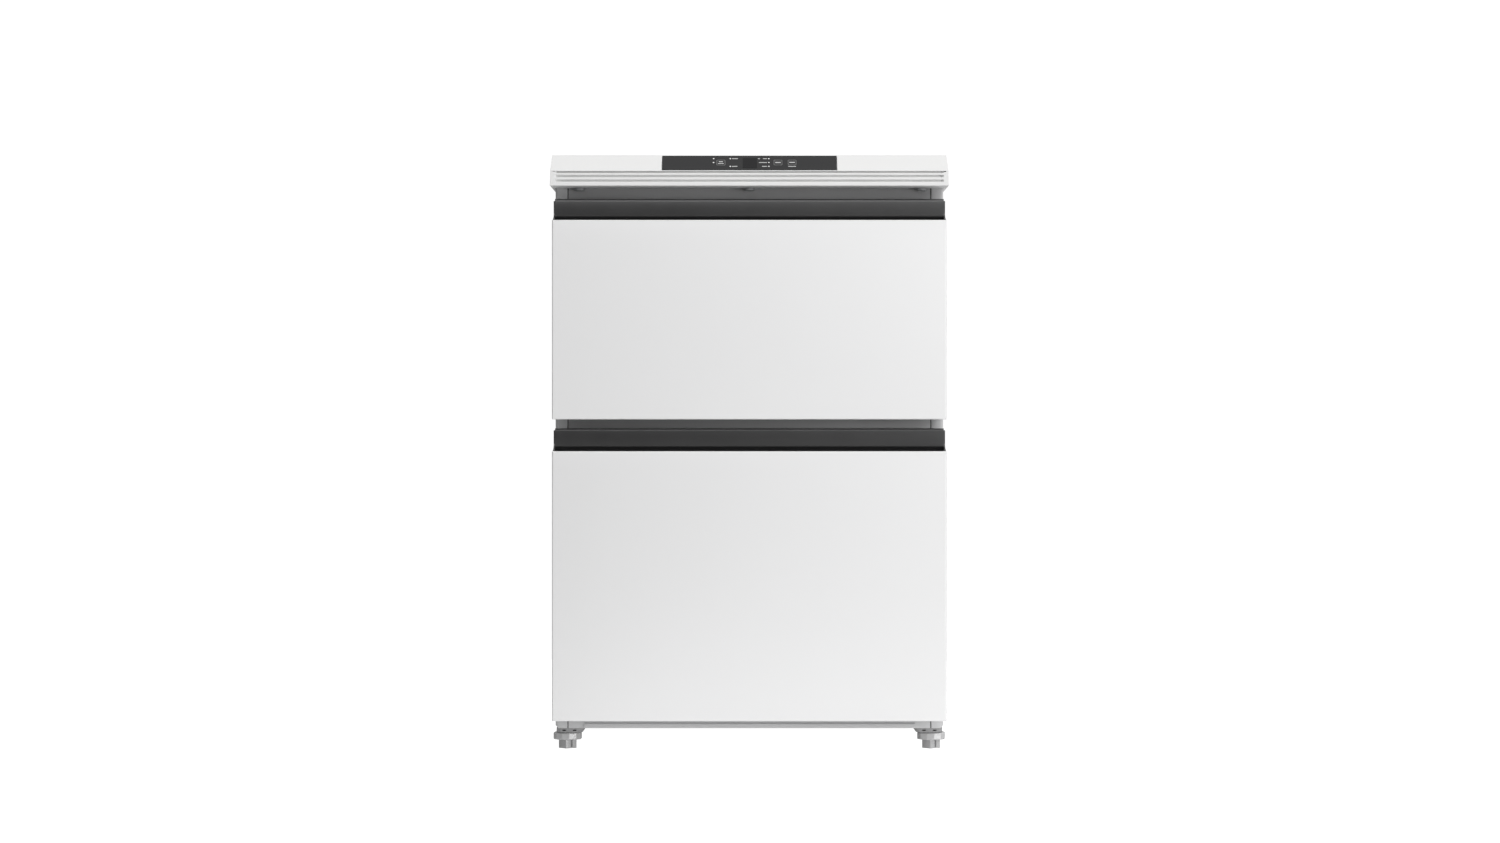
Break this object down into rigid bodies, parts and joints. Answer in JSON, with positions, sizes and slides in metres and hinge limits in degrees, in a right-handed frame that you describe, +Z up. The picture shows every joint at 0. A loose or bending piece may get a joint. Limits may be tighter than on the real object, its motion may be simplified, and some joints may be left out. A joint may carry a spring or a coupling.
{
  "type": "under counter fridge",
  "caption": "Free-standing under counter fridge: white cabinet with an upper and a deeper lower drawer, recessed dark grips, a ribbed worktop edge with a sloped control strip, screw feet.",
  "frame": {"origin": "on the floor, under the middle of the worktop", "axes": "+Z up, the drawer fronts face -Y, +X to the right of a person facing the fronts"},
  "size_m": [0.566, 0.57, 0.85],
  "materials": {
    "front_white": "satin",
    "lid_white": "satin",
    "cabinet_steel": "satin",
    "handle_grey": "satin",
    "overlay_gloss": "gloss",
    "liner_white": "satin",
    "gasket_grey": "matte",
    "insulation": "matte",
    "slide_steel": "satin",
    "bin_clear_grey": "gloss",
    "foot_grey": "satin",
    "roller_black": "matte",
    "galvanised": "satin",
    "black_steel": "satin",
    "copper": "satin",
    "fin_aluminium": "satin",
    "black_plastic": "matte",
    "circuit_board": "satin",
    "grey_plastic": "matte"
  },
  "bodies": {
    "cabinet": {"top_cover": "lid_white", "worktop_panel": "lid_white", "control_overlay": "overlay_gloss", "control_board": "circuit_board", "cabinet_foam": "insulation", "side_panel_left": "cabinet_steel", "side_panel_right": "cabinet_steel", "back_panel": "galvanised", "base_pan": "galvanised", "rear_grille": "galvanised", "power_inlet": "black_plastic", "mullion_rail": "cabinet_steel", "top_rail": "cabinet_steel", "bottom_rail": "cabinet_steel", "upper_liner": "liner_white", "lower_liner": "liner_white", "foot_bracket_left": "grey_plastic", "foot_bracket_right": "grey_plastic", "compressor_tray": "galvanised", "compressor": "black_steel", "terminal_cover": "black_plastic", "drip_tray": "grey_plastic", "condenser": "fin_aluminium", "condenser_fan_frame": "black_plastic", "filter_drier": "copper", "suction_tube": "copper", "evaporator": "fin_aluminium", "evaporator_cover": "liner_white", "lower_air_duct": "liner_white", "evaporator_fan_motor": "black_plastic", "upper_fixed_rail_left": "slide_steel", "upper_fixed_rail_right": "slide_steel", "lower_fixed_rail_left": "slide_steel", "lower_fixed_rail_right": "slide_steel"},
    "upper_drawer": {"upper_front_panel": "front_white", "upper_front_insulation": "insulation", "upper_handle_channel": "handle_grey", "upper_inner_door": "liner_white", "upper_gasket": "gasket_grey", "upper_bin": "bin_clear_grey", "upper_runner_left": "slide_steel", "upper_runner_right": "slide_steel"},
    "upper_middle_rails": {"upper_middle_rail_left": "slide_steel", "upper_middle_rail_right": "slide_steel"},
    "lower_drawer": {"lower_front_panel": "front_white", "lower_front_insulation": "insulation", "lower_handle_channel": "handle_grey", "lower_inner_door": "liner_white", "lower_gasket": "gasket_grey", "lower_bin": "bin_clear_grey", "lower_runner_left": "slide_steel", "lower_runner_right": "slide_steel"},
    "lower_middle_rails": {"lower_middle_rail_left": "slide_steel", "lower_middle_rail_right": "slide_steel"},
    "left_foot": {"foot_left": "foot_grey"},
    "right_foot": {"foot_right": "foot_grey"},
    "left_roller": {"roller_left": "roller_black"},
    "right_roller": {"roller_right": "roller_black"},
    "condenser_fan": {"condenser_fan_blade": "black_plastic"},
    "evaporator_fan": {"evaporator_fan_blade": "liner_white"}
  },
  "joints": [
    {"name": "upper_drawer_slide", "type": "slide", "parent": "cabinet", "child": "upper_drawer", "axis": [0, -1, 0], "range_m": [0, 0.37]},
    {"name": "upper_middle_rail_slide", "type": "slide", "parent": "cabinet", "child": "upper_middle_rails", "axis": [0, -1, 0], "range_m": [0, 0.185]},
    {"name": "lower_drawer_slide", "type": "slide", "parent": "cabinet", "child": "lower_drawer", "axis": [0, -1, 0], "range_m": [0, 0.37]},
    {"name": "lower_middle_rail_slide", "type": "slide", "parent": "cabinet", "child": "lower_middle_rails", "axis": [0, -1, 0], "range_m": [0, 0.185]},
    {"name": "left_foot_screw", "type": "slide", "parent": "cabinet", "child": "left_foot", "axis": [0, 0, -1], "range_m": [0, 0.015]},
    {"name": "left_roller_spin", "type": "hinge", "parent": "cabinet", "child": "left_roller", "pos_m": [-0.24, 0.238, 0.015], "axis": [1, 0, 0], "continuous": true},
    {"name": "right_foot_screw", "type": "slide", "parent": "cabinet", "child": "right_foot", "axis": [0, 0, -1], "range_m": [0, 0.015]},
    {"name": "right_roller_spin", "type": "hinge", "parent": "cabinet", "child": "right_roller", "pos_m": [0.24, 0.238, 0.015], "axis": [1, 0, 0], "continuous": true},
    {"name": "condenser_fan_spin", "type": "hinge", "parent": "cabinet", "child": "condenser_fan", "pos_m": [0.018, 0.2, 0.092], "axis": [1, 0, 0], "continuous": true},
    {"name": "evaporator_fan_spin", "type": "hinge", "parent": "cabinet", "child": "evaporator_fan", "pos_m": [0, 0.19, 0.682], "axis": [0, 1, 0], "continuous": true}
  ],
  "couplings": [
    {"joint": "upper_middle_rail_slide", "follows": "upper_drawer_slide", "ratio": 0.5},
    {"joint": "lower_middle_rail_slide", "follows": "lower_drawer_slide", "ratio": 0.5}
  ]
}
